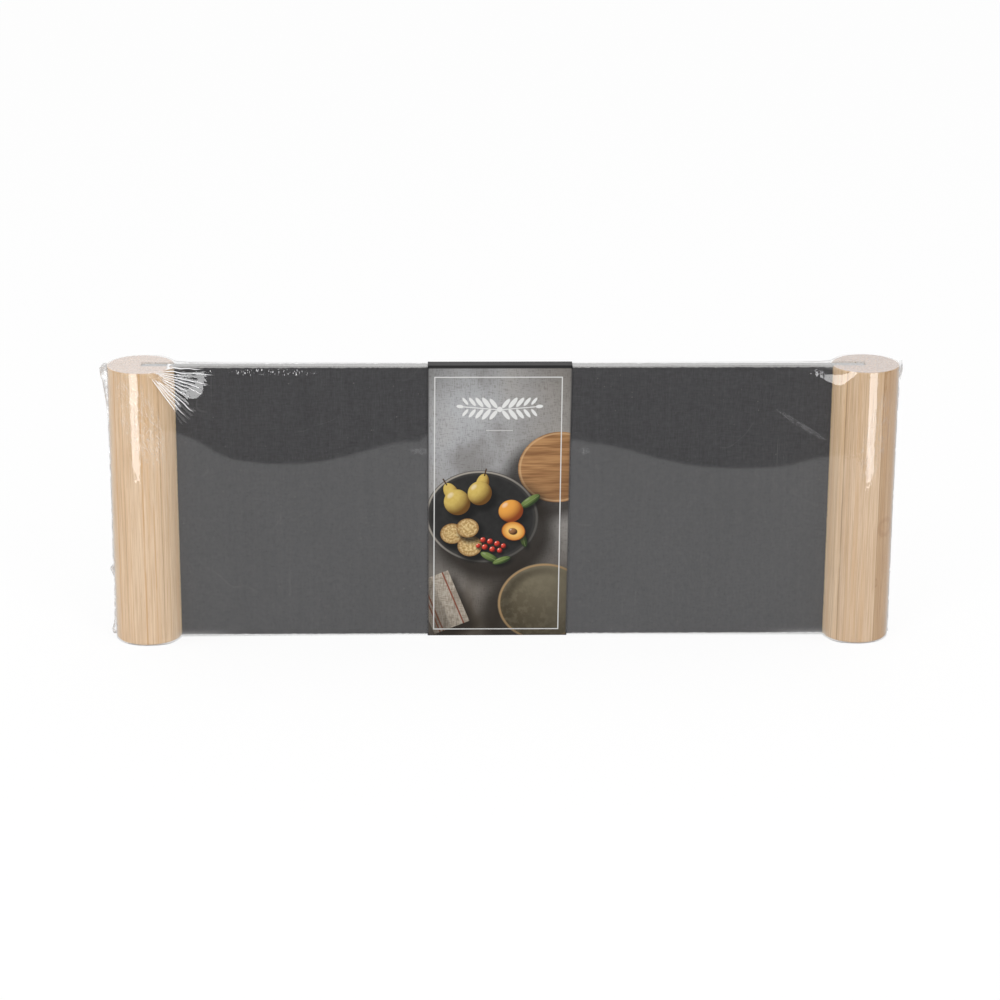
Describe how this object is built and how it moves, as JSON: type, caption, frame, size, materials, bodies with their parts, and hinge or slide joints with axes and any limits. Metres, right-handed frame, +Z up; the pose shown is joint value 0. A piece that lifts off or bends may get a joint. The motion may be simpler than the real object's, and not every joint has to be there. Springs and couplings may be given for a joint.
{
  "type": "serving board",
  "caption": "Slate serving board with two round laminated bamboo handles, standing on its long edge in clear shrink film, with a printed card sleeve folded round it.",
  "frame": {"origin": "on the surface it stands on, midway along the board and midway through its thickness", "axes": "+Z up along the handles' axes, +X along the board towards the right handle, -Y out of the sleeve's printed front"},
  "size_m": [0.3368, 0.0284, 0.1219],
  "materials": {
    "slate": "fine riven matt face, pale chipped edges",
    "bamboo": "sanded laminated bamboo, unvarnished",
    "slot_adhesive": "cured clear-amber adhesive",
    "printed_card": "matt printed card",
    "sleeve_glue": "hot-melt glue",
    "shrink_film": "clear glossy shrink film",
    "film_weld": "cloudy ragged weld of the film"
  },
  "bodies": {
    "root": {"slate_plate": "slate", "left_lamella_1": "bamboo", "left_lamella_2": "bamboo", "left_lamella_3_front": "bamboo", "left_lamella_3_rear": "bamboo", "left_lamella_4_front": "bamboo", "left_lamella_4_rear": "bamboo", "right_lamella_1_front": "bamboo", "right_lamella_1_rear": "bamboo", "right_lamella_2_front": "bamboo", "right_lamella_2_rear": "bamboo", "right_lamella_3": "bamboo", "right_lamella_4": "bamboo", "left_slot_adhesive": "slot_adhesive", "right_slot_adhesive": "slot_adhesive", "sleeve_card": "printed_card", "sleeve_glue_strip": "sleeve_glue", "film_front": "shrink_film", "film_rear": "shrink_film", "film_left_seam": "film_weld", "film_right_seam": "film_weld"}
  },
  "joints": []
}
